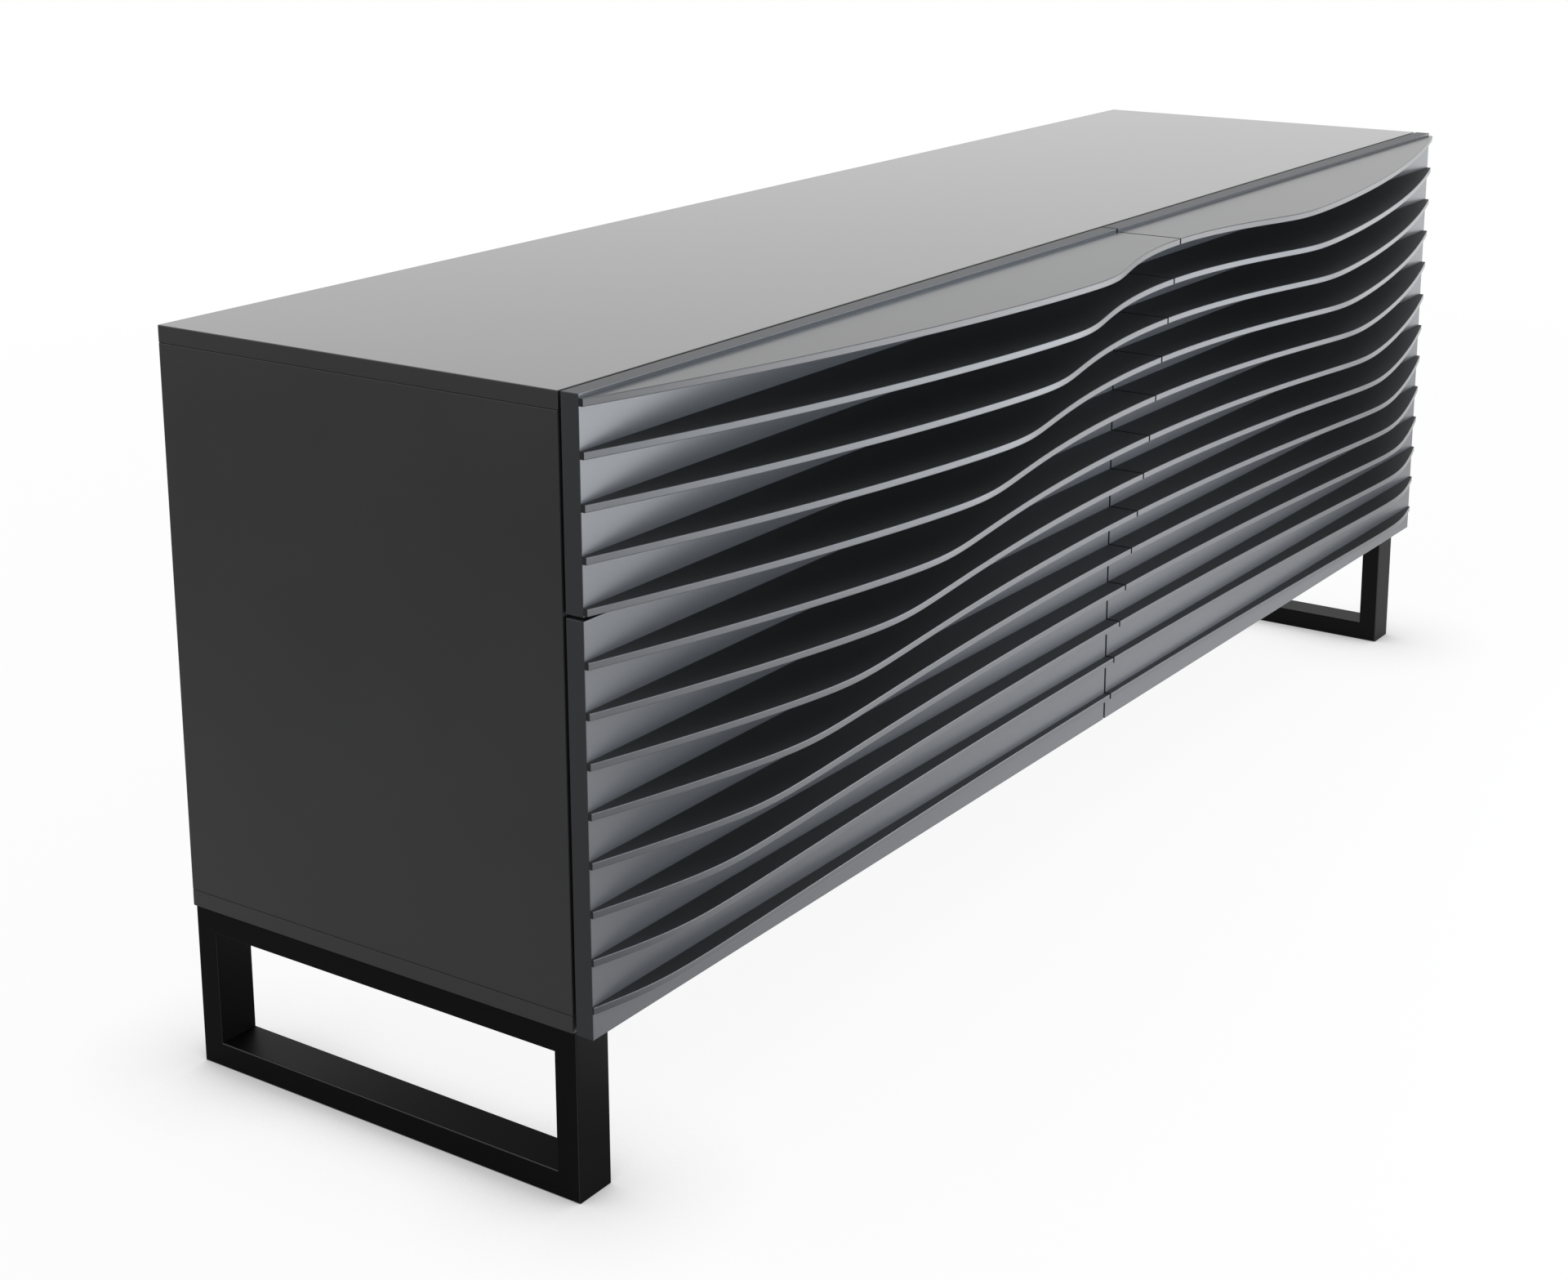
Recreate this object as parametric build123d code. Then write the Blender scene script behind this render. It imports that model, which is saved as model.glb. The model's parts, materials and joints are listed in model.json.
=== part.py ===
"""Sideboard with a ribbed wave front: four drawers in a panel carcass on two sled leg frames.

Millimetres. +Z is up, +X runs along the length and the fronts face -Y.
The origin is on the floor, in the middle of the overall length and depth.
"""
import math
import os

from build123d import *

# Carcass
length = 1800.0
carcass_depth = 450.0  # back edge to front edge of the panels, without the fronts
carcass_height = 547.0
panel = 16.0
edge_round = 0.8
back_panel_thickness = 6.0
back_panel_inset = 10.0  # bare edge behind the back panel
back_panel_groove = 6.0  # how deep it sits in the panels around it

# Leg frames of welded rectangular tube
leg_height = 158.0
leg_width = 43.0  # along the length
leg_bar = 24.0  # seen from the end
leg_inset = 3.0  # from the end of the carcass
tube_wall = 2.0
tube_round = 1.5

# Screws that hold the leg frames, driven up from inside the top bars
leg_screw_radius = 2.5
leg_screw_head_radius = 5.0
leg_screw_head = 3.0
leg_screw_bite = 12.0  # length in the bottom panel
leg_screw_end = 55.0  # first and last screw from the ends of the bar
leg_screw_count = 4  # evenly spaced along each bar
leg_access_radius = 7.0
screw_clearance = 0.1

# Drawer fronts
front_thickness = 18.0
front_gap = 3.0  # shadow gap between fronts and carcass
middle_gap = 3.0  # between the two columns
split_gap = 3.0  # between upper and lower fronts

# Ribs
upper_rows = 5
lower_rows = 8
rib_thickness = 6.5
rib_top_drop = 3.5  # first rib below the top edge of the fronts
rib_bottom_rise = 23.9  # bare front below the last rib
rib_split_rise = 1.5  # bare front below the last rib of an upper front
rib_split_extra = 1.9  # added to one rib step where the fronts part
rib_tongue = 6.0  # depth of the groove that each rib is glued in
rib_tongue_stop = 10.0  # the groove ends this far from the ends of the front
rib_nose_round = 0.8
rib_stations = 31  # points along each rib's wavy edge

# The wave: every rib climbs along the same flank from the outer end, rounds a crest and falls into a valley
# that lies in the middle. From row to row downwards the valley gets lower and flatter, so the crest moves out.
end_reach = 4.6  # how far a rib stands out at the outer end
flank_slope = 0.297
flank_radius = 2680.0
valley_reach = 75.0  # top row, in the middle
valley_step = 5.85  # lower from row to row
valley_least = 7.5
valley_radius = 490.0  # top row
valley_growth_ratio = 1.37  # of that radius, from row to row
crest_softness = 17.4

# Drawer boxes
box_wall = 15.0
box_top_room = 45.0  # from the top edge of a front down to its box
box_floor_room = 16.0  # from the box down to what lies below it
box_back_room = 27.0  # from the box to the back panel
box_bottom_thickness = 6.0
box_bottom_rise = 10.0
box_bottom_groove = 5.0

# Screws from inside a box into its front
front_screw_radius = 2.0
front_screw_head_radius = 4.5
front_screw_head = 2.5
front_screw_bite = 9.0  # length in the front
front_screw_end = 70.0  # from the box's sides
front_screw_edge = 32.0  # from the box's top and bottom edges

# Three-member runners
runner_room = 13.0  # between a box and the panel beside it
runner_height = 46.0
runner_steel = 1.2
runner_play = 0.4
runner_setback = 3.0  # from the carcass's front edge
runner_back_room = 31.0
runner_rise = 22.0  # from the box's lower edge


def soft_min(a, b, softness):
    """The smaller of a and b, with the corner where they cross rounded off."""
    return (a + b - math.hypot(a - b, softness)) / 2


def rib_reach(row, from_middle):
    """How far the rib of a row stands out of its front, at a distance from the sideboard's middle."""
    from_end = length / 2 - from_middle
    flank = end_reach + flank_slope * from_end - from_end**2 / (2 * flank_radius)
    valley_floor = max(valley_least, valley_reach - valley_step * row)
    valley = valley_floor + from_middle**2 / (2 * valley_radius * valley_growth_ratio**row)
    return soft_min(flank, valley, crest_softness)


# Places along the length
half = length / 2
column_inner = middle_gap / 2
bay_inner = panel / 2
bay_outer = half - panel
box_inner = bay_inner + runner_room
box_outer = bay_outer - runner_room

# Places in the depth, with the middle of the overall depth at zero
rows = range(upper_rows + lower_rows)
stations = [column_inner + (half - column_inner) * i / (rib_stations - 1) for i in range(rib_stations)]
deepest_rib = max(rib_reach(row, station) for row in rows for station in stations)
overall_depth = carcass_depth + front_gap + front_thickness + deepest_rib
back = overall_depth / 2
carcass_front = back - carcass_depth
back_panel_face = back - back_panel_inset - back_panel_thickness
front_back = carcass_front - front_gap
front_face = front_back - front_thickness
box_back = back_panel_face - box_back_room
runner_y = (carcass_front + runner_setback, back_panel_face - runner_back_room)

# Heights
height = leg_height + carcass_height
inside_bottom = leg_height + panel
inside_top = height - panel
ribbed_height = carcass_height - rib_top_drop - rib_thickness - rib_bottom_rise
rib_pitch = (ribbed_height - rib_split_extra) / (len(rows) - 1)
rib_tops = [height - rib_top_drop - rib_pitch * row - rib_split_extra * (row >= upper_rows) for row in rows]
upper_bottom = rib_tops[upper_rows - 1] - rib_thickness - rib_split_rise
lower_top = upper_bottom - split_gap

# What each level of drawers spans: its rows, the heights of its front and the height of its box
levels = {
    "upper": {
        "rows": rows[:upper_rows],
        "front": (upper_bottom, height),
        "box": (upper_bottom + box_floor_room, height - box_top_room),
    },
    "lower": {
        "rows": rows[upper_rows:],
        "front": (leg_height, lower_top),
        "box": (inside_bottom + box_floor_room, lower_top - box_top_room),
    },
}
sides = {"left": -1, "right": 1}


def block(x, y, z):
    """A plain box between three pairs of low and high values."""
    size = Box(x[1] - x[0], y[1] - y[0], z[1] - z[0])
    return Pos(sum(x) / 2, sum(y) / 2, sum(z) / 2) * size


def board(x, y, z):
    """A lacquered board: a box with its edges eased."""
    plain = block(x, y, z)
    return fillet(plain.edges(), edge_round)


def span(side, near, far):
    """Two distances from the middle, as low and high places on the left or right side."""
    return tuple(sorted((side * near, side * far)))


def shrink(pair, amount):
    """A low and high pair, drawn in by the same amount at both ends."""
    return (pair[0] + amount, pair[1] - amount)


def rod(radius, z):
    """An upright cylinder between two heights."""
    return Pos(0, 0, sum(z) / 2) * Cylinder(radius, z[1] - z[0])


def rod_along_y(radius, y):
    """A lying cylinder between two places in the depth."""
    return Pos(0, sum(y) / 2, 0) * Rot(90, 0, 0) * Cylinder(radius, y[1] - y[0])


# Carcass
def back_panel():
    """A thin sheet in grooves of the four panels around it."""
    reach = half - panel + back_panel_groove
    z = (inside_bottom - back_panel_groove, inside_top + back_panel_groove)
    return block((-reach, reach), (back_panel_face, back_panel_face + back_panel_thickness), z)


def carcass():
    """Top and bottom run the full length, and the sides and the divider stand between them."""
    y = (carcass_front, back)
    inside_z = (inside_bottom, inside_top)
    sheet = back_panel()
    bottom = board((-half, half), y, (leg_height, inside_bottom)) - sheet
    for place in leg_screw_places():
        bottom -= place * rod(leg_screw_radius + screw_clearance, (leg_height, leg_height + leg_screw_bite))
    return {
        "top_panel": board((-half, half), y, (inside_top, height)) - sheet,
        "bottom_panel": bottom,
        "left_side_panel": board(span(-1, bay_outer, half), y, inside_z) - sheet,
        "right_side_panel": board(span(1, bay_outer, half), y, inside_z) - sheet,
        "center_divider": board((-bay_inner, bay_inner), (carcass_front, back_panel_face), inside_z),
        "back_panel": sheet,
    }


# Leg frames
def leg_screw_places():
    """Where the screws stand, in the middle of each frame's top bar."""
    middle = half - leg_inset - leg_width / 2
    first, last = shrink((carcass_front, back), leg_screw_end)
    step = (last - first) / (leg_screw_count - 1)
    depths = [first + step * i for i in range(leg_screw_count)]
    return [Pos(side * middle, y, 0) for side in sides.values() for y in depths]


def corners_of(y, z):
    """The corners of a rectangle seen from the end, in order round it."""
    return [(y[0], z[0]), (y[1], z[0]), (y[1], z[1]), (y[0], z[1])]


def leg_frame(side):
    """Four lengths of tube, mitred into a closed rectangle flush with the carcass at front and back."""
    x = span(side, half - leg_inset - leg_width, half - leg_inset)
    y = (carcass_front, back)
    z = (0, leg_height)
    frame = block(x, y, z) - block(x, shrink(y, leg_bar), shrink(z, leg_bar))
    frame = fillet(frame.edges().filter_by(Axis.X, reverse=True), tube_round)
    bore = shrink(x, tube_wall)
    inner = leg_bar - tube_wall
    hollow = block(bore, shrink(y, tube_wall), shrink(z, tube_wall))
    frame -= hollow - block(bore, shrink(y, inner), shrink(z, inner))
    for place in leg_screw_places():
        frame -= place * rod(leg_screw_radius + screw_clearance, (leg_height - tube_wall, leg_height))
        frame -= place * rod(leg_access_radius, (leg_height - leg_bar, leg_height - inner))
    outer_corners = corners_of(y, z)
    inner_corners = corners_of(shrink(y, leg_bar), shrink(z, leg_bar))
    lengths = []
    for i in range(4):
        outline = [outer_corners[i - 1], outer_corners[i], inner_corners[i], inner_corners[i - 1]]
        face = make_face(Polyline(*[(x[0], *corner) for corner in outline], close=True))
        lengths.append(frame & extrude(face, leg_width, dir=(1, 0, 0)))
    return Compound(children=lengths)


def leg_screws():
    """Screws with their heads inside the top bars."""
    seat = leg_height - tube_wall
    shank = rod(leg_screw_radius, (seat, leg_height + leg_screw_bite))
    head = rod(leg_screw_head_radius, (seat - leg_screw_head, seat))
    return Compound(children=[place * (shank + head) for place in leg_screw_places()])


# Ribs
def rib_tongue_block(row):
    """The hidden back part of a left rib, which fills its groove in the front."""
    x = shrink(span(-1, column_inner, half), rib_tongue_stop)
    return block(x, (front_face, front_face + rib_tongue), (rib_tops[row] - rib_thickness, rib_tops[row]))


def rib(side, row):
    """A flat strip with a wavy outer edge, made on the left and mirrored for the right."""
    nose = [(-station, front_face - rib_reach(row, station)) for station in stations]
    inner_end = (-column_inner, front_face)
    outer_end = (-half, front_face)
    outline = [Spline(*nose), Line(nose[-1], outer_end), Line(outer_end, inner_end), Line(inner_end, nose[0])]
    strip = extrude(make_face(outline), rib_thickness, dir=(0, 0, 1))
    strip = fillet(strip.edges().filter_by(GeomType.BSPLINE), rib_nose_round)
    strip = Pos(0, 0, rib_tops[row] - rib_thickness) * strip + rib_tongue_block(row)
    return strip if side < 0 else mirror(strip, about=Plane.YZ)


# Drawers
def front_screw_places(side, level):
    """Where four screws go through a box's front wall."""
    x = shrink(span(side, box_inner, box_outer), front_screw_end)
    z = shrink(levels[level]["box"], front_screw_edge)
    return [Pos(at_x, 0, at_z) for at_x in x for at_z in z]


def front_screw_holes(side, level):
    """The clearance holes of those screws, through the wall and into the front."""
    y = (front_back - front_screw_bite, front_back + box_wall)
    hole = rod_along_y(front_screw_radius + screw_clearance, y)
    return [place * hole for place in front_screw_places(side, level)]


def front_screws(side, level):
    """Screws with their heads on the inner face of the box's front wall."""
    seat = front_back + box_wall
    shank = rod_along_y(front_screw_radius, (front_back - front_screw_bite, seat))
    head = rod_along_y(front_screw_head_radius, (seat, seat + front_screw_head))
    return Compound(children=[place * (shank + head) for place in front_screw_places(side, level)])


def drawer_front(side, level):
    """A flat board with a stopped groove for each of its ribs."""
    slab = board(span(-1, column_inner, half), (front_face, front_back), levels[level]["front"])
    for row in levels[level]["rows"]:
        slab -= rib_tongue_block(row)
    slab = slab if side < 0 else mirror(slab, about=Plane.YZ)
    for hole in front_screw_holes(side, level):
        slab -= hole
    return slab


def drawer_bottom(side, level):
    """A thin sheet in a groove around the inside of the box."""
    inside = box_wall - box_bottom_groove
    x = shrink(span(side, box_inner, box_outer), inside)
    low = levels[level]["box"][0] + box_bottom_rise
    return block(x, shrink((front_back, box_back), inside), (low, low + box_bottom_thickness))


def drawer_box(side, level):
    """Four glued walls; the front wall lies against the back of the drawer front."""
    x = span(side, box_inner, box_outer)
    y = (front_back, box_back)
    z = levels[level]["box"]
    walls = block(x, y, z) - block(shrink(x, box_wall), shrink(y, box_wall), z) - drawer_bottom(side, level)
    for hole in front_screw_holes(side, level):
        walls -= hole
    return walls


# Runners
def channel(x, z, opens):
    """A length of folded steel channel, open towards +X or -X."""
    web = (x[0] + runner_steel, x[1]) if opens > 0 else (x[0], x[1] - runner_steel)
    return block(x, runner_y, z) - block(web, runner_y, shrink(z, runner_steel))


def runner_members(side, level, member):
    """One member of the two runners of a drawer: cabinet, middle or drawer, nested in that order."""
    step = runner_steel + runner_play
    order = ["cabinet", "middle", "drawer"].index(member)
    near = step * order
    far = runner_room - step * (2 - order)
    low = levels[level]["box"][0] + runner_rise
    z = shrink((low, low + runner_height), step * order)
    lengths = []
    for wall, towards_drawer in ((bay_inner, 1), (bay_outer, -1)):
        x = span(side, wall + towards_drawer * near, wall + towards_drawer * far)
        opens = side * towards_drawer * (-1 if member == "drawer" else 1)
        lengths.append(channel(x, z, opens))
    return lengths


parts = carcass()
parts["leg_screws"] = leg_screws()
cabinet_members = []
for side_name, side in sides.items():
    parts[f"{side_name}_leg_frame"] = leg_frame(side)
    for level, spans in levels.items():
        drawer = f"{level}_{side_name}"
        parts[f"{drawer}_front"] = drawer_front(side, level)
        for number, row in enumerate(spans["rows"], start=1):
            parts[f"{drawer}_rib_{number}"] = rib(side, row)
        parts[f"{drawer}_front_screws"] = front_screws(side, level)
        parts[f"{drawer}_drawer_box"] = drawer_box(side, level)
        parts[f"{drawer}_drawer_bottom"] = drawer_bottom(side, level)
        parts[f"{drawer}_runner_middle"] = Compound(children=runner_members(side, level, "middle"))
        parts[f"{drawer}_runner_drawer"] = Compound(children=runner_members(side, level, "drawer"))
        cabinet_members += runner_members(side, level, "cabinet")
parts["cabinet_runners"] = Compound(children=cabinet_members)

os.makedirs("parts", exist_ok=True)
for name, shape in parts.items():
    export_step(shape, f"parts/{name}.step")
size = f"{length:.1f} x {overall_depth:.1f} x {height:.1f} mm"
print(f"{len(parts)} pieces, {size}, rib pitch {rib_pitch:.2f} mm")
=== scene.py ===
# %% [markdown]
# # A sideboard with a ribbed wave front
#
# The solids of this sideboard come ready made: a lacquered carcass, four drawers whose fronts carry
# thirteen rows of wavy ribs, and two sled leg frames. This lesson dresses them. Each step says what a
# piece or a finish is on the real object, how it could be made and why it is made this way: the lacquer,
# the powder coat, the drawer board, the runners and the screws, and at the end the studio that shows
# them.

# %% Load the solids
import json
import math

import bpy
import numpy as np
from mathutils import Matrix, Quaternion, Vector

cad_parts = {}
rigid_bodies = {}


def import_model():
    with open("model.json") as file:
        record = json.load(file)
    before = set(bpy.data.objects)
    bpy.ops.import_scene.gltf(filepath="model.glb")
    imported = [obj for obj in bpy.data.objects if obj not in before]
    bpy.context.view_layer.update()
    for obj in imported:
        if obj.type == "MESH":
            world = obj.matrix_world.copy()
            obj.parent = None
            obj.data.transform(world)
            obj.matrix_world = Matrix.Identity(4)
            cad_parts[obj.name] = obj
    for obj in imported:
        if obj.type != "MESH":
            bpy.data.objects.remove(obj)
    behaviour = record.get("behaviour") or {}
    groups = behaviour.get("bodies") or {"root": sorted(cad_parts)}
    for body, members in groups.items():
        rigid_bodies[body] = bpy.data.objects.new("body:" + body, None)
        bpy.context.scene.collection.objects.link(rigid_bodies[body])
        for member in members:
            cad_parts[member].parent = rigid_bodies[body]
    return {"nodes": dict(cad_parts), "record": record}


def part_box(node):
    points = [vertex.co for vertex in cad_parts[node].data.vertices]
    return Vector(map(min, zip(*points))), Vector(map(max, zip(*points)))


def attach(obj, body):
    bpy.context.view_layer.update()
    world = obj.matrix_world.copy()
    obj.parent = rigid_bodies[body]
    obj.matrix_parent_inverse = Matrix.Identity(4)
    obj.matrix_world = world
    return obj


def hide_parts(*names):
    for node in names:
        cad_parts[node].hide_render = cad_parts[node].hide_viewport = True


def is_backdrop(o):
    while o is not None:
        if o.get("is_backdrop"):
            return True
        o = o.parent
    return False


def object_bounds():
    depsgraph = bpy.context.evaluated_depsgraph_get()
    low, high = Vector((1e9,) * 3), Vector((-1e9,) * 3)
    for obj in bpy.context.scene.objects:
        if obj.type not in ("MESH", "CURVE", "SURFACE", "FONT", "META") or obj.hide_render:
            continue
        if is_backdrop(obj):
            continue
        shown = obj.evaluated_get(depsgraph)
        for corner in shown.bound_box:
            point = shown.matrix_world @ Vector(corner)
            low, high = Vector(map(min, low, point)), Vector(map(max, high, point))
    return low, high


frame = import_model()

nodes = frame["nodes"]
for stray in [o for o in bpy.data.objects if o.name in ("Cube", "Light", "Camera")]:
    bpy.data.objects.remove(stray)
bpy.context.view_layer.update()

# %% [markdown]
# ## Colours, sizes and nodes
#
# Colours are written as they are read off a screen, in sRGB hex, and Blender wants linear light, so one
# function turns one into the other. Sizes of patterns are written in millimetres. A texture's Scale
# counts how many times it repeats in a metre of Object coordinates, so a scale is 1000 divided by the
# size. One small function adds any node to a tree: it sets what it is told to, makes the links, and
# places the colour stops where the node is a ramp. It could be left out, but then each node would take
# five lines, and a material would be hard to read.

# %% Helpers for materials
MM = 0.001


def linear(hex_colour):
    """sRGB hex to linear RGBA: up to 0.04045 v / 12.92, above it (v + 0.055) / 1.055 to the power 2.4."""
    srgb = np.array([int(hex_colour[i:i + 2], 16) for i in (1, 3, 5)]) / 255
    light = np.where(srgb <= 0.04045, srgb / 12.92, ((srgb + 0.055) / 1.055) ** 2.4)
    return (*light.tolist(), 1.0)


def per_metre(size_mm):
    """How often a pattern of this size repeats in a metre."""
    return 1000 / size_mm


def add(tree, kind, inputs=(), stops=(), **settings):
    """Adds a node with its settings, its inputs, which are values or links, and the stops of a ramp."""
    node = tree.nodes.new(kind)
    for name, value in settings.items():
        setattr(node, name, value)
    for name, value in dict(inputs).items():
        if isinstance(value, bpy.types.NodeSocket):
            tree.links.new(value, node.inputs[name])
        else:
            node.inputs[name].default_value = value
    for index, (position, hex_colour) in enumerate(stops):
        element = node.color_ramp.elements[index]
        element.position, element.color = position, linear(hex_colour)
    return node


def start_material(name):
    """An empty node material and its tree, with the Object coordinates of the piece."""
    material = bpy.data.materials.new(name)
    material.use_nodes = True
    tree = material.node_tree
    tree.nodes.clear()
    return material, tree, add(tree, "ShaderNodeTexCoord").outputs["Object"]


print("a 2 mm grain repeats", per_metre(2), "times in a metre")

# %% [markdown]
# ## Which way a face looks
#
# A spray gun, a sanding block and a pool of melting powder all treat a flat face and an edge differently.
# The two could be given materials of their own, face by face. A mask made from the surface normal does it
# inside one material, and fades smoothly round a rounded edge. Each part of a normal is a cosine: 1 means
# that the face looks straight along that axis.

# %% A mask of faces
FLAT_LIMITS = (0.8, 0.97)  # cosines between which a rounded edge fades into a flat face
LOOKING_LIMITS = (0.45, 0.85)  # cosines between which a face turns to look along an axis


# The lacquers below also use this mask to paint shade on edges and ledges.
def face_mask(tree, faces):
    """
    1 on the faces named and 0 elsewhere, from the normal's x, y and z without their signs.
    "front" faces look along Y, "top" ones along Z, and "flat" ones along any one of the three.
    """
    normal = add(tree, "ShaderNodeNewGeometry").outputs["Normal"]
    size = add(tree, "ShaderNodeVectorMath", {0: normal}, operation="ABSOLUTE").outputs["Vector"]
    x, y, z = add(tree, "ShaderNodeSeparateXYZ", {0: size}).outputs
    if faces == "flat":
        level = add(tree, "ShaderNodeMath", {0: x, 1: y}, operation="MAXIMUM").outputs["Value"]
        along = add(tree, "ShaderNodeMath", {0: level, 1: z}, operation="MAXIMUM").outputs["Value"]
        start, end = FLAT_LIMITS
    else:
        along = {"front": y, "top": z}[faces]
        start, end = LOOKING_LIMITS
    mask = add(tree, "ShaderNodeMapRange", {"Value": along, "From Min": start, "From Max": end})
    return mask.outputs["Result"]


print("a face counts as flat within", round(math.degrees(math.acos(FLAT_LIMITS[1]))), "degrees of an axis")

# %% [markdown]
# ## Satin lacquer on fibreboard
#
# Carcass, fronts and ribs are medium-density fibreboard, primed, sanded and sprayed with a pigmented
# lacquer. The eye gets almost no colour from it: a near-black grey, and then everything else is
# reflection. Seen from straight on it is dark, and at a flat angle it turns pale, because a smooth film
# reflects more the flatter you look along it. Pigmented coat and clear coat are two films, so the shader
# has its own gloss and a coat over it.
#
# Spraying leaves its marks. Orange peel is a soft ripple of one or two millimetres, too fine to show
# here, so it is drawn coarser, as a bump of a few hundredths of a millimetre. The film flows out unevenly
# over a hand's breadth, so its gloss and its grey drift a little from place to place. One function makes
# every lacquer, so that what differs between them stands side by side below.

# %% Lacquer
ORANGE_PEEL_MM = 4.0  # drawn twice as coarse as the real one, which would vanish between pixels
ORANGE_PEEL_DEPTH_MM = 0.05
FLOW_MM = 140.0
FLOW_RANGE = (0.35, 0.65)  # most of a noise's values lie between these
GLOSS_DRIFT = 0.004


def lacquer(name, dark, light, faces, face, edge, coat_gloss=0.36):
    """
    Grey and gloss drift with a broad noise, and a fine noise is the bump. The faces named and the edges,
    which are all others, each have three values: roughness, coat weight, and a share of the grey; a share
    below 1 darkens the grey there, as painted shade.
    """
    material, tree, place = start_material(name)
    broad = add(tree, "ShaderNodeTexNoise", {"Vector": place, "Scale": per_metre(FLOW_MM), "Detail": 3.0})
    flow = broad.outputs["Fac"]
    peel = add(tree, "ShaderNodeTexNoise",
               {"Vector": place, "Scale": per_metre(ORANGE_PEEL_MM), "Detail": 1.0})
    mask = face_mask(tree, faces)
    ranges = [add(tree, "ShaderNodeMapRange", {"Value": mask, "To Min": on_edge, "To Max": on_face})
              for on_face, on_edge in zip(face, edge)]
    smooth, coat, share = (each.outputs["Result"] for each in ranges)

    start, end = FLOW_RANGE
    drift = add(tree, "ShaderNodeMapRange", {"Value": flow, "From Min": start, "From Max": end,
                                             "To Min": -GLOSS_DRIFT, "To Max": GLOSS_DRIFT})
    rough = add(tree, "ShaderNodeMath", {0: smooth, 1: drift.outputs["Result"]}, operation="ADD")
    tone = add(tree, "ShaderNodeValToRGB", {"Fac": flow}, stops=((start, dark), (end, light)))
    grey = add(tree, "ShaderNodeVectorMath", {0: tone.outputs["Color"], "Scale": share}, operation="SCALE")
    bump = add(tree, "ShaderNodeBump", {"Height": peel.outputs["Fac"], "Strength": 0.12,
                                        "Distance": ORANGE_PEEL_DEPTH_MM * MM})
    film = add(tree, "ShaderNodeBsdfPrincipled", {
        "Base Color": grey.outputs["Vector"], "Roughness": rough.outputs["Value"], "IOR": 1.5,
        "Normal": bump.outputs["Normal"], "Coat Weight": coat, "Coat Roughness": coat_gloss})
    add(tree, "ShaderNodeOutputMaterial", {"Surface": film.outputs["BSDF"]})
    return material


print("orange peel of", ORANGE_PEEL_MM, "mm,", ORANGE_PEEL_DEPTH_MM, "mm deep")

# %% [markdown]
# The five lacquers stand for one dark lacquer, and differ in how the films came out and in painted light
# and shade. The top is rubbed smoother than the other panels. The panels' rounded edges are dull, and their
# grey is cut to a fifth, a painted shade, so that the joints between panels read as dark lines. The front
# boards have a broad, dull base film under a glossier coat, which lets light run far along them; their grey
# is lighter and a little bluer than the carcass's, painted light on their faces, and their edges went
# without the coat and keep about half the grey, a painted shade. The first ribs show their whole upper face
# and were sprayed from above like the top. For the other ribs the gun was aimed at the front: what lies
# level between two of them is dull, and its grey is cut to three tenths, painted shade for the dark ledge
# under the rib above; their grey is a little bluer too, painted bluish light.

# %% Five lacquers
# A face or an edge is given as roughness, coat weight and share of the grey; a share below 1 is painted
# shade.
top_lacquer = lacquer("satin_lacquered_fibreboard_top", "#212122", "#242425", "top",
                      face=(0.12, 0.56, 1.0), edge=(0.36, 0.6, 1.0))
# The panels' edges keep a fifth of the grey: painted shade, so that the joints read as dark lines.
panel_lacquer = lacquer("satin_lacquered_fibreboard_panels", "#212122", "#242425", "flat",
                        face=(0.36, 0.6, 1.0), edge=(0.9, 0.0, 0.2))
# The fronts' grey is lighter and bluer than the carcass's, painted light; their edges keep about half,
# painted shade.
front_lacquer = lacquer("satin_lacquered_fibreboard_fronts", "#37393e", "#3a3c41", "front",
                        face=(0.55, 1.0, 1.0), edge=(0.5, 0.0, 0.55), coat_gloss=0.32)
first_rib_lacquer = lacquer("satin_lacquered_fibreboard_first_ribs", "#222327", "#242529", "front",
                            face=(0.42, 0.9, 1.0), edge=(0.22, 0.1, 1.0), coat_gloss=0.42)
# The ribs' level faces keep three tenths of the grey, painted shade for the ledges; the bluer grey is
# painted bluish light.
rib_lacquer = lacquer("satin_lacquered_fibreboard_ribs", "#212329", "#23252b", "front",
                      face=(0.42, 1.0, 1.0), edge=(0.66, 0.0, 0.3), coat_gloss=0.42)
lacquers = (top_lacquer, panel_lacquer, front_lacquer, first_rib_lacquer, rib_lacquer)
print(len(lacquers), "lacquers:", [made.name for made in lacquers])

# %% [markdown]
# ## Black powder coat
#
# The leg frames are steel tube, welded and powder coated: the powder melts into a thick black film with a
# leathery ripple of about a millimetre and a dull gloss. On the tube's rounded edges it flows out smooth.
# The eye gets a deep black, and a thin line of light along those edges. A plain black would do from far
# away, but one noise that drives tone, roughness and bump together is as easy, and looks like powder from
# near. The mask of flat faces, turned round, lays a glossy coat on the edges alone.

# %% Powder coat
POWDER_MM = 1.6  # drawn a little coarser than the real ripple, so that it shows
POWDER_DEPTH_MM = 0.05


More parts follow.
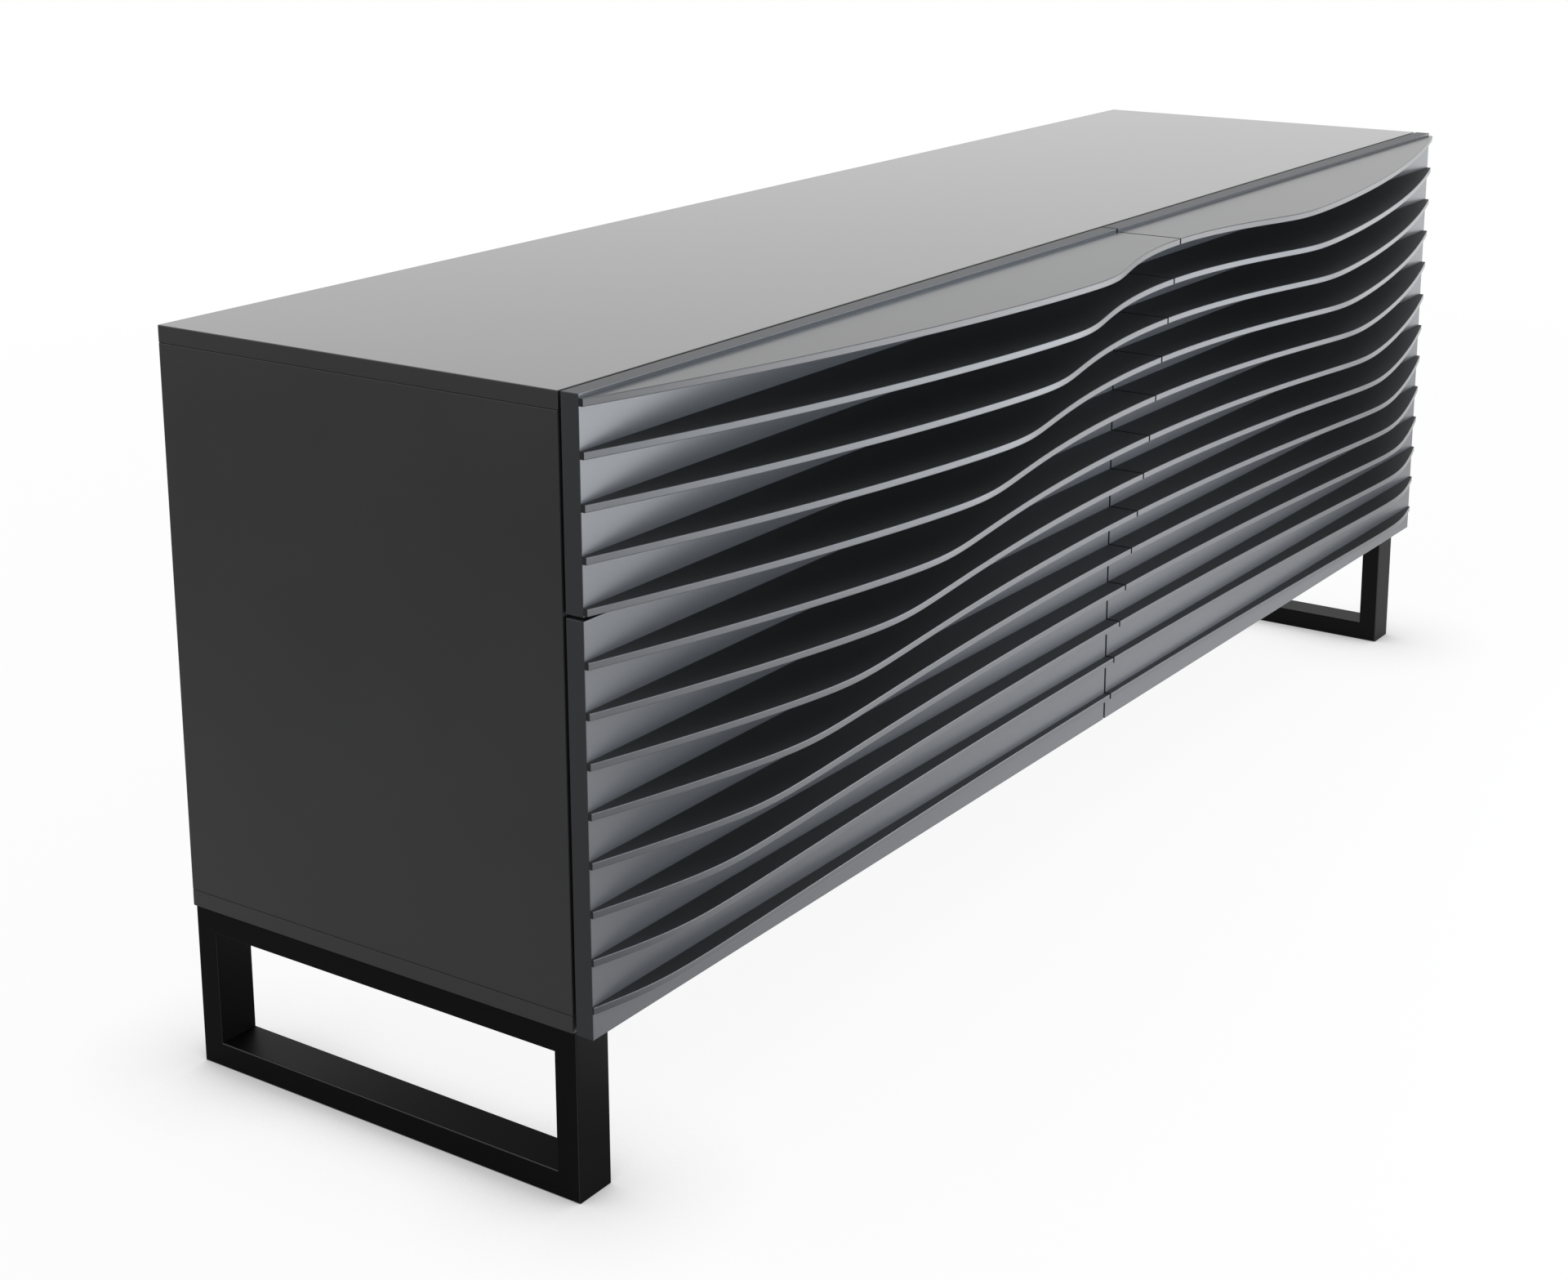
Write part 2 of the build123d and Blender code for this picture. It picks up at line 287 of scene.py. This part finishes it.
def powder_coat():
    """Black film whose tone, roughness and bump follow one noise, with a glossy coat on rounded edges."""
    material, tree, place = start_material("matt_black_powder_coated_steel")
    noise = add(tree, "ShaderNodeTexNoise", {"Vector": place, "Scale": per_metre(POWDER_MM), "Detail": 2.0})
    ripple = noise.outputs["Fac"]
    tone = add(tree, "ShaderNodeValToRGB", {"Fac": ripple}, stops=((0.0, "#050505"), (1.0, "#0b0b0b")))
    rough = add(tree, "ShaderNodeMapRange", {"Value": ripple, "To Min": 0.36, "To Max": 0.52})
    bump = add(tree, "ShaderNodeBump", {"Height": ripple, "Strength": 0.3,
                                        "Distance": POWDER_DEPTH_MM * MM})
    flat = face_mask(tree, "flat")
    edge = add(tree, "ShaderNodeMapRange", {"Value": flat, "To Min": 1.0, "To Max": 0.0})
    film = add(tree, "ShaderNodeBsdfPrincipled", {
        "Base Color": tone.outputs["Color"], "Roughness": rough.outputs["Result"],
        "Normal": bump.outputs["Normal"], "Specular IOR Level": 0.1,
        "Coat Weight": edge.outputs["Result"], "Coat Roughness": 0.2})
    add(tree, "ShaderNodeOutputMaterial", {"Surface": film.outputs["BSDF"]})
    return material


leg_finish = powder_coat()
print("legs:", leg_finish.name)

# %% [markdown]
# ## Melamine board
#
# The drawer boxes and their bottoms are chipboard faced with melamine paper, pressed against a plate that
# leaves a fine pearl grain. The eye gets a matt dark grey, lighter than the lacquer's own, with a faint
# cloudiness of the print. Two layers of colour could be painted one over the other. A fine noise for the
# pearls times a broad one for the clouds gives the same in one tone, and the fine one serves as the bump
# too.

# %% Melamine
PEARL_MM = 1.5
PEARL_DEPTH_MM = 0.04
CLOUD_MM = 90.0


def melamine():
    """Dark grey paper. Tone: a fine noise times a broad one. Roughness and bump: the fine one alone."""
    material, tree, place = start_material("pearl_grain_melamine_board")
    fine = add(tree, "ShaderNodeTexNoise", {"Vector": place, "Scale": per_metre(PEARL_MM), "Detail": 2.0})
    pearl = fine.outputs["Fac"]
    cloud = add(tree, "ShaderNodeTexNoise", {"Vector": place, "Scale": per_metre(CLOUD_MM), "Detail": 4.0})
    both = add(tree, "ShaderNodeMath", {0: pearl, 1: cloud.outputs["Fac"]}, operation="MULTIPLY")
    tone = add(tree, "ShaderNodeValToRGB", {"Fac": both.outputs["Value"]},
               stops=((0.12, "#3c3d40"), (0.42, "#494a4d")))
    rough = add(tree, "ShaderNodeMapRange", {"Value": pearl, "To Min": 0.42, "To Max": 0.6})
    bump = add(tree, "ShaderNodeBump", {"Height": pearl, "Strength": 0.3, "Distance": PEARL_DEPTH_MM * MM})
    paper = add(tree, "ShaderNodeBsdfPrincipled", {
        "Base Color": tone.outputs["Color"], "Roughness": rough.outputs["Result"],
        "Normal": bump.outputs["Normal"]})
    add(tree, "ShaderNodeOutputMaterial", {"Surface": paper.outputs["BSDF"]})
    return material


drawer_finish = melamine()
print("drawer boxes:", drawer_finish.name)

# %% [markdown]
# ## Zinc
#
# Runners and screws are steel with a thin layer of zinc. The eye gets a bluish white metal. Runners are
# rolled from strip, and the rolls leave faint lines along them; screws are headed and plated in a barrel,
# which leaves short scuffs. A brushed look could come from an anisotropic shader. Both marks are one
# noise here, stretched along the depth of the sideboard by a Mapping node, because a stretched noise
# shows each line.

# %% Zinc
RUNNER_LINE_MM = (60.0, 0.8)  # along and across; drawn wider than rolling leaves them, so that they show
SCREW_SCUFF_MM = (3.0, 1.5)
LINE_DEPTH_MM = 0.02


def zinc(name, line_mm):
    """Bluish white metal, with a noise stretched along Y for the lines of making."""
    material, tree, place = start_material(name)
    along, across = (per_metre(size) for size in line_mm)
    stretched = add(tree, "ShaderNodeMapping", {"Vector": place, "Scale": (across, along, across)})
    lines = add(tree, "ShaderNodeTexNoise",
                {"Vector": stretched.outputs["Vector"], "Scale": 1.0, "Detail": 3.0}).outputs["Fac"]
    tone = add(tree, "ShaderNodeValToRGB", {"Fac": lines}, stops=((0.3, "#a9adb2"), (0.7, "#c6cace")))
    rough = add(tree, "ShaderNodeMapRange", {"Value": lines, "To Min": 0.22, "To Max": 0.42})
    bump = add(tree, "ShaderNodeBump", {"Height": lines, "Strength": 0.2, "Distance": LINE_DEPTH_MM * MM})
    metal = add(tree, "ShaderNodeBsdfPrincipled", {
        "Base Color": tone.outputs["Color"], "Roughness": rough.outputs["Result"],
        "Normal": bump.outputs["Normal"], "Metallic": 1.0})
    add(tree, "ShaderNodeOutputMaterial", {"Surface": metal.outputs["BSDF"]})
    return material


runner_finish = zinc("zinc_plated_rolled_steel", RUNNER_LINE_MM)
screw_finish = zinc("zinc_plated_screw_steel", SCREW_SCUFF_MM)
print("runners and screws:", runner_finish.name, screw_finish.name)

# %% [markdown]
# ## Every solid gets its finish
#
# The record names a material slot for every solid, so a solid finds its finish by its slot, and nothing
# has to be listed piece by piece. The top and the ribs have lacquers of their own. Their shapes are right
# as they are: the waves are cut in the solids, and so are the rounded edges that catch the light.

# %% Hand out the finishes
subparts = frame["record"]["subparts"]
finishes = {
    "carcass_lacquer": panel_lacquer,
    "front_lacquer": front_lacquer,
    "leg_steel": leg_finish,
    "drawer_board": drawer_finish,
    "runner_steel": runner_finish,
    "screw_steel": screw_finish,
}
own_finishes = {
    "top_panel": top_lacquer,
    "upper_left_rib_1": first_rib_lacquer,
    "upper_right_rib_1": first_rib_lacquer,
}
for part in subparts:
    name = part["node"]
    finish = rib_lacquer if "_rib_" in name else finishes[part["material_slot"]]
    mesh = nodes[name].data
    mesh.materials.clear()
    mesh.materials.append(own_finishes.get(name, finish))
print(len(subparts), "solids have a finish")

# %% [markdown]
# ## Screws
#
# Four screws hold each front to its drawer box, and four more hold each leg frame. They show inside an
# open drawer and from below. The solids are plain rods with flat heads, so these pieces stand in for
# them: a domed head with a cross recess, and a shank with a thread. A head could be cut with a boolean,
# which leaves long thin triangles. Here the whole screw is one sheet, wrapped round its axis: each row is
# a ring, the thread is a ripple of the ring's radius that turns with the height, and the recess is a dip
# in the height near the middle of the head.

# %% The outline of a screw
SCREW_SPOKES = 48
THREAD_PITCH_MM = 1.8
THREAD_ROWS = 6  # rings in one turn of the thread
RIDGE_SHARE = 0.5  # of the pitch, at the foot of the thread's ridge
CORE_SHARE = 0.72  # of the thread's outer radius
HEAD_ROWS = 26
HEAD_END = 0.98  # the last ring, just short of the axis at 1
RECESS_SHARE = 0.52  # how far the cross reaches out over the head
RECESS_DEPTH_SHARE = 0.6  # of the head's height
ARM_SHARE = 0.28  # half of an arm's width, of the cross's reach
ARM_WALL_SHARE = 0.12  # the sloping wall along an arm, of the cross's reach
ARM_END_SHARE = 0.4  # the slope at the end of an arm, of the cross's reach


def screw(shank, shank_radius, head_radius, head_height):
    """
    Rings of points round the axis h, seat at h = 0, head upwards, all in mm.
    Shank: radius = core + (outer - core) times a triangle wave of h / pitch - angle / 360, narrowed to a
    point over the last diameter.
    Head: h = height times the cube root of 1 - (r / head radius) cubed, less the cross's depth at (x, y).
    """
    angle = 2 * np.pi * np.arange(SCREW_SPOKES) / SCREW_SPOKES
    h = np.linspace(-shank, 0, int(shank / THREAD_PITCH_MM * THREAD_ROWS))[1:, None]
    turn = (h / THREAD_PITCH_MM - angle / (2 * np.pi)) % 1
    ridge = np.clip(1 - np.abs(turn - 0.5) / (RIDGE_SHARE / 2), 0, 1)
    tip = np.clip((h + shank) / (2 * shank_radius), 0, 1)
    r_shank = shank_radius * tip * (CORE_SHARE + (1 - CORE_SHARE) * ridge)

    t = np.linspace(0, HEAD_END, HEAD_ROWS)[:, None]
    r_head = head_radius * (1 - t ** 2) + 0 * angle
    x, y = np.abs(r_head * np.cos(angle)), np.abs(r_head * np.sin(angle))
    reach = RECESS_SHARE * head_radius
    arm = np.clip((ARM_SHARE * reach - np.minimum(x, y)) / (ARM_WALL_SHARE * reach), 0, 1)
    arm_end = np.clip((reach - np.maximum(x, y)) / (ARM_END_SHARE * reach), 0, 1)
    cross = RECESS_DEPTH_SHARE * head_height * arm * arm_end
    h_head = head_height * np.cbrt(1 - (r_head / head_radius) ** 3) - cross

    r = np.concatenate([r_shank, r_head])
    height = np.concatenate([h + 0 * angle, h_head])
    rings = np.stack([r * np.cos(angle), r * np.sin(angle), height], axis=-1).reshape(-1, 3)
    ends = np.array([[0, 0, -shank], [0, 0, h_head[-1].mean()]])
    return np.concatenate([ends[:1], rings, ends[1:]])


print("a screw with a 20 mm shank has", len(screw(20.0, 2.0, 4.5, 2.5)), "points")

# %% [markdown]
# Rings become a surface when each is joined to the next, and a point on the axis closes both ends. A
# screw is made once, standing on its axis. It could be copied as an object, but one mesh for a whole set
# of screws rides on its drawer as one piece, so the copies are made in the arrays, each moved to its
# place.

# %% From rings to pieces
SHARP_DEGREES = 40  # edges sharper than this stay crisp


def ring_faces(rings, spokes):
    """Four-sided faces from ring to ring, and triangles from both end rings to a point on the axis."""
    index = 1 + np.arange(rings * spokes).reshape(rings, spokes)
    beside = np.roll(index, -1, axis=1)
    quads = np.stack([index[:-1], beside[:-1], beside[1:], index[1:]], axis=-1).reshape(-1, 4)
    start = np.stack([np.zeros(spokes, int), beside[0], index[0]], axis=-1)
    end = np.stack([np.full(spokes, rings * spokes + 1), index[-1], beside[-1]], axis=-1)
    return quads, np.concatenate([start, end])


def new_piece(name, points, faces):
    """A mesh of these points and faces, as an object in the scene."""
    mesh = bpy.data.meshes.new(name)
    mesh.from_pydata(points.tolist(), [], faces)
    piece = bpy.data.objects.new(name, mesh)
    bpy.context.scene.collection.objects.link(piece)
    return piece


def screws_in_place(node, body, places_mm, turned_mm):
    """Copies of one screw at each place, as one mesh that stands for the node and rides on the body."""
    rings = (len(turned_mm) - 2) // SCREW_SPOKES
    points = (places_mm[:, None, :] + turned_mm[None, :, :]).reshape(-1, 3) * MM
    shift = len(turned_mm) * np.arange(len(places_mm))[:, None, None]
    faces = []
    for kind in ring_faces(rings, SCREW_SPOKES):
        faces += (kind[None] + shift).reshape(-1, kind.shape[1]).tolist()
    piece = new_piece(f"{node}_with_thread", points, faces)
    piece.data.shade_smooth()
    piece.data.set_sharp_from_angle(angle=math.radians(SHARP_DEGREES))
    piece.data.materials.append(screw_finish)
    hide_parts(node)
    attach(piece, body)
    print(piece.name, len(places_mm), "screws", len(piece.data.polygons), "faces")


print("two rings of four spokes give", sum(len(kind) for kind in ring_faces(2, 4)), "faces")

# %% [markdown]
# The front screws point forwards, so the axis of the upright screw is turned to the depth of the
# sideboard. The leg screws point upwards out of the top bars, so theirs is turned upside down. Their
# places could be typed in, but the box round the solids gives them: a head's radius in from its sides,
# and evenly spaced between.

# %% Front screws
FRONT_SHANK_RADIUS_MM, FRONT_HEAD_RADIUS_MM, FRONT_HEAD_MM = 2.0, 4.5, 2.5
for level in ("upper", "lower"):
    for side in ("left", "right"):
        node = f"{level}_{side}_front_screws"
        low, high = (np.array(corner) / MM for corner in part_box(node))
        seat = high[1] - FRONT_HEAD_MM
        x = (low[0] + FRONT_HEAD_RADIUS_MM, high[0] - FRONT_HEAD_RADIUS_MM)
        z = (low[2] + FRONT_HEAD_RADIUS_MM, high[2] - FRONT_HEAD_RADIUS_MM)
        places = np.array([(a, seat, b) for a in x for b in z])
        upright = screw(seat - low[1], FRONT_SHANK_RADIUS_MM, FRONT_HEAD_RADIUS_MM, FRONT_HEAD_MM)
        screws_in_place(node, f"{level}_{side}_drawer", places, upright[:, [1, 2, 0]])

# %% Leg screws
LEG_SHANK_RADIUS_MM, LEG_HEAD_RADIUS_MM, LEG_HEAD_MM = 2.5, 5.0, 3.0
LEG_SCREWS_A_BAR = 4
low, high = (np.array(corner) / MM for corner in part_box("leg_screws"))
seat = low[2] + LEG_HEAD_MM
x = (low[0] + LEG_HEAD_RADIUS_MM, high[0] - LEG_HEAD_RADIUS_MM)
y = np.linspace(low[1] + LEG_HEAD_RADIUS_MM, high[1] - LEG_HEAD_RADIUS_MM, LEG_SCREWS_A_BAR)
places = np.array([(a, b, seat) for a in x for b in y])
upright = screw(high[2] - seat, LEG_SHANK_RADIUS_MM, LEG_HEAD_RADIUS_MM, LEG_HEAD_MM)
screws_in_place("leg_screws", "carcass", places, upright[:, [1, 0, 2]] * (1, 1, -1))

# %% [markdown]
# ## The floor
#
# The sideboard stands on a plain white floor that runs on to the horizon. It could be one large square,
# but rings that widen outwards keep their faces small near the object. Whoever looks at the floor,
# straight or in a mirror, sees plain white, with the object's shadow kept: the dark of the contact, which
# Ambient Occlusion gives where something stands close above, and a small share of the real shading, which
# fades out with the distance. All other rays find an ordinary matt white floor, so the light that it
# throws back on the object stays at a plain level.

# %% Floor
FLOOR_RADIUS, FLOOR_RINGS, FLOOR_SPOKES = 30.0, 24, 64  # the radius in metres
WHITE = linear("#ffffff")
SHADOW_SHARE = 0.08  # how much of the real shading shows on the floor beside the object
SHADOW_FADES = (1.5, 3.5)  # metres from the object's middle
CONTACT_MM = 150.0  # how far the dark of the contact shadow reaches


def disc(name, radius, rings, spokes):
    """Points at radius times (i / rings) squared, on evenly spaced spokes, with faces that look upwards."""
    r = radius * (np.arange(1, rings + 1) / rings) ** 2
    a = 2 * np.pi * np.arange(spokes) / spokes
    ring = np.stack([np.outer(r, np.cos(a)), np.outer(r, np.sin(a)), np.zeros((rings, spokes))], axis=-1)
    points = np.concatenate([[[0.0, 0.0, 0.0]], ring.reshape(-1, 3)])
    quads, fans = ring_faces(rings, spokes)
    middle = fans[:spokes]
    return new_piece(name, points, middle[:, ::-1].tolist() + quads[:, ::-1].tolist())


def seen_rays(tree):
    """1 for rays that show a background, which are camera, glossy and transmission rays, 0 for others."""
    ray = add(tree, "ShaderNodeLightPath").outputs
    first = add(tree, "ShaderNodeMath", {0: ray["Is Camera Ray"], 1: ray["Is Glossy Ray"]}, operation="ADD")
    every = add(tree, "ShaderNodeMath", {0: first.outputs["Value"], 1: ray["Is Transmission Ray"]},
                operation="ADD", use_clamp=True)
    return every.outputs["Value"]


def white_floor():
    """Matt white. What shows as background is white light, dimmed beside whatever stands close above it."""
    material, tree, place = start_material("matt_white_studio_floor")
    paint = add(tree, "ShaderNodeBsdfDiffuse", {"Color": linear("#f3f3f3")})
    open_sky = add(tree, "ShaderNodeAmbientOcclusion", {"Distance": CONTACT_MM * MM}, samples=8)
    glow = add(tree, "ShaderNodeEmission", {"Color": WHITE, "Strength": open_sky.outputs["AO"]})
    away = add(tree, "ShaderNodeVectorMath", {0: place}, operation="LENGTH")
    start, end = SHADOW_FADES
    white = add(tree, "ShaderNodeMapRange", {
        "Value": away.outputs["Value"], "From Min": start, "From Max": end,
        "To Min": 1 - SHADOW_SHARE, "To Max": 1.0})
    share = add(tree, "ShaderNodeMath", {0: seen_rays(tree), 1: white.outputs["Result"]},
                operation="MULTIPLY")
    both = add(tree, "ShaderNodeMixShader", {0: share.outputs["Value"], 1: paint.outputs["BSDF"],
                                             2: glow.outputs["Emission"]})
    add(tree, "ShaderNodeOutputMaterial", {"Surface": both.outputs["Shader"]})
    return material


floor = disc("studio_floor", FLOOR_RADIUS, FLOOR_RINGS, FLOOR_SPOKES)
floor.data.materials.append(white_floor())
floor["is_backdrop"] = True
print("floor", len(floor.data.polygons), "faces")

# %% [markdown]
# ## The world
#
# Beyond the floor there is only white. The same rays that see a white floor see a white world. For all
# others the world is a soft fill of half that strength, as the walls of a white studio would be. One
# strength for all would be simpler, but then a white background would flood the object with light.

# %% World
FILL = 0.5
world = bpy.data.worlds.new("white_studio")
bpy.context.scene.world = world
world.use_nodes = True
sky = world.node_tree
sky.nodes.clear()
seen = add(sky, "ShaderNodeBackground", {"Color": WHITE, "Strength": 1.0})
fill = add(sky, "ShaderNodeBackground", {"Color": WHITE, "Strength": FILL})
either = add(sky, "ShaderNodeMixShader", {0: seen_rays(sky), 1: fill.outputs["Background"],
                                          2: seen.outputs["Background"]})
add(sky, "ShaderNodeOutputWorld", {"Surface": either.outputs["Shader"]})
print("world fill", FILL)

# %% [markdown]
# ## Softboxes
#
# A dark satin surface is lit by what it mirrors, so each lamp is a broad sheet. One hangs overhead. One
# stands low in front, a little blue as daylight is, and the upper rows mirror it towards the left end; a
# weaker one does the same for the right half. Both front ones end below the height of the top, so that
# the top never mirrors them, from whichever side it is seen. A lamp's power grows with its area, so it is
# worked out from how bright its sheet looks.

# %% Softboxes
FRONT_BOX = (1.9, 0.66)  # width and height in metres
FRONT_BOX_MIDDLE = 0.36  # metres above the floor
LEFT_PLACE, LEFT_AIM = (0.3, -1.5), (-0.8, -0.2)  # x and y in metres
RIGHT_PLACE, RIGHT_AIM = (2.6, -1.2), (0.4, -0.2)


def softbox(name, radiance, size, place, aim, tint=(1.0, 1.0, 1.0)):
    """An area lamp. Power is radiance times pi times its area, and it points from place to aim."""
    lamp = bpy.data.lights.new(name, "AREA")
    lamp.shape = "RECTANGLE"
    width, height = size
    lamp.size, lamp.size_y = width, height
    lamp.energy = radiance * math.pi * width * height
    lamp.color = tint
    box = bpy.data.objects.new(name, lamp)
    box.location = place
    box.rotation_euler = (Vector(aim) - Vector(place)).to_track_quat("-Z", "Y").to_euler()
    box.visible_camera = False
    bpy.context.scene.collection.objects.link(box)
    print(name, round(lamp.energy, 1), "W")
    return box


softbox("front_softbox", 3.8, FRONT_BOX, (*LEFT_PLACE, FRONT_BOX_MIDDLE), (*LEFT_AIM, FRONT_BOX_MIDDLE),
        tint=(0.915, 0.95, 1.0))
softbox("front_right_softbox", 1.1, FRONT_BOX, (*RIGHT_PLACE, FRONT_BOX_MIDDLE),
        (*RIGHT_AIM, FRONT_BOX_MIDDLE), tint=(0.965, 0.975, 1.0))
softbox("overhead_softbox", 1.0, (6.0, 5.0), (0.0, -0.3, 3.2), (0.0, 0.0, 0.5))

# %% [markdown]
# A strip of bluer light, as from a window, stands right above the left one. It reaches the faces deep
# between the ribs, which then fall off into blue, and it draws a clear line where a ledge meets its face.
# But it stands higher than the top, which would mirror it and burn out when seen from behind. It could be
# made weaker, and the recesses would go flat. Light linking keeps both: a lamp is given a collection of
# the objects that it may light, here the front boards and the ribs without the first ones, which lie open
# like the top.

# %% A window for the fronts
WINDOW_BOX = (1.9, 0.4)
WINDOW_MIDDLE = 0.92
window = softbox("window_softbox", 5.2, WINDOW_BOX, (*LEFT_PLACE, WINDOW_MIDDLE),
                 (*LEFT_AIM, WINDOW_MIDDLE), tint=(0.7, 0.86, 1.0))
lit_solids = bpy.data.collections.new("front_faces")
for part in subparts:
    name = part["node"]
    if part["material_slot"] == "front_lacquer" and name not in own_finishes:
        lit_solids.objects.link(nodes[name])
window.light_linking.receiver_collection = lit_solids

# %% [markdown]
# ## A grey sheet
#
# The end panel would mirror the white floor and turn pale. A grey sheet on the floor beside it keeps it
# dark, as a dark flag out of the picture does in a studio. This one shows only in reflections, a painted
# reflection, so it can lie right up to the legs and leaves the floor white to the camera. The panel mirrors
# what lies near it low down and what lies far off higher up. The sheet's grey gets darker with the
# distance, a painted fall-off of light, and so the panel gets darker towards its top.

# %% Grey sheet, a painted reflection
FELT_X, FELT_Y = (-6.0, -0.7), (-1.5, 5.0)  # what the sheet covers, in metres
FELT_LIFT_MM = 1.0
FELT_CELLS = 12
# The sheet's grey rises towards the panel: a painted fall-off of light.
FELT_PAINTED_FALLOFF = (-3.4, -0.9)  # it is darkest up to the first x and lightest from the second, in metres
FELT_LIGHTEST = 0.9  # on the way from the dark grey to the light one
NAP_MM = 30.0  # tufts, drawn far coarser than the fibres, which no reflection would show
NAP_SHARE = 0.1


def painted_reflection_sheet():
    """Grey whose tone rises with x, a painted fall-off of light, plus a small share of a soft noise."""
    material, tree, place = start_material("grey_sheet_painted_reflection")
    nap = add(tree, "ShaderNodeTexNoise", {"Vector": place, "Scale": per_metre(NAP_MM), "Detail": 2.0})
    along = add(tree, "ShaderNodeSeparateXYZ", {0: place}).outputs["X"]
    start, end = FELT_PAINTED_FALLOFF
    near = add(tree, "ShaderNodeMapRange", {"Value": along, "From Min": start, "From Max": end,
                                            "To Max": FELT_LIGHTEST})
    both = add(tree, "ShaderNodeMath", {0: nap.outputs["Fac"], 1: NAP_SHARE, 2: near.outputs["Result"]},
               operation="MULTIPLY_ADD")
    tone = add(tree, "ShaderNodeValToRGB", {"Fac": both.outputs["Value"]},
               stops=((0.0, "#606060"), (1.0, "#b4b4b4")))
    wool = add(tree, "ShaderNodeBsdfPrincipled", {
        "Base Color": tone.outputs["Color"], "Roughness": 1.0, "Specular IOR Level": 0.0})
    add(tree, "ShaderNodeOutputMaterial", {"Surface": wool.outputs["BSDF"]})
    return material


def flat_sheet(name, x_range, y_range, height, cells):
    """Points evenly spaced over a range of x and a range of y, all at one height, in four-sided faces."""
    steps = cells + 1
    x, y = np.meshgrid(np.linspace(*x_range, steps), np.linspace(*y_range, steps), indexing="ij")
    points = np.stack([x, y, np.full_like(x, height)], axis=-1).reshape(-1, 3)
    index = np.arange(steps * steps).reshape(steps, steps)
    quads = np.stack([index[:-1, :-1], index[1:, :-1], index[1:, 1:], index[:-1, 1:]], axis=-1)
    return new_piece(name, points, quads.reshape(-1, 4).tolist())


grey_sheet = flat_sheet("grey_sheet", FELT_X, FELT_Y, FELT_LIFT_MM * MM, FELT_CELLS)
grey_sheet.data.materials.append(painted_reflection_sheet())
grey_sheet.visible_camera = grey_sheet.visible_diffuse = False
grey_sheet.visible_transmission = grey_sheet.visible_shadow = False
grey_sheet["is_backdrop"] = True
print("grey sheet", len(grey_sheet.data.polygons), "faces")

# %% [markdown]
# ## The camera
#
# The picture was taken from the front left, a little above the top, with a long lens. Tilted down, a
# camera makes upright edges lean. A vertical shift of the lens sets them upright, and a large one would
# do it fully, but it would push the object out of the frame in views from other sides, so this one is
# modest. The lens is given in pixels of the picture's width.

# %% Camera
IMAGE_WIDTH = 1920
FOCAL_PIXELS = 3140.2
SENSOR_MM = 36.0
LENS_SHIFT = -0.15  # of the picture's width
CAMERA_PLACE = (-2.3955, -1.4004, 1.1628)
AZIMUTH, ELEVATION, ROLL = (math.radians(angle) for angle in (55.45, 13.64, -0.23))
camera_data = bpy.data.cameras.new("camera")
camera_data.sensor_fit = "HORIZONTAL"
camera_data.sensor_width = SENSOR_MM
camera_data.lens = FOCAL_PIXELS / IMAGE_WIDTH * SENSOR_MM
camera_data.shift_y = LENS_SHIFT
camera = bpy.data.objects.new("camera", camera_data)
camera.location = CAMERA_PLACE
outwards = math.cos(ELEVATION)
ahead = Vector((math.sin(AZIMUTH) * outwards, math.cos(AZIMUTH) * outwards, -math.sin(ELEVATION)))
camera.rotation_mode = "QUATERNION"
camera.rotation_quaternion = ahead.to_track_quat("-Z", "Y") @ Quaternion((0, 0, 1), ROLL)
bpy.context.scene.collection.objects.link(camera)
bpy.context.scene.camera = camera
bpy.context.scene.view_settings.view_transform = "Standard"
print("lens", round(camera_data.lens, 1), "mm")

# %% [markdown]
# ## Sizes
#
# Dressing must not change the size of the object, so the box round what shows is measured.

# %% Sizes
low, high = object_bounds()
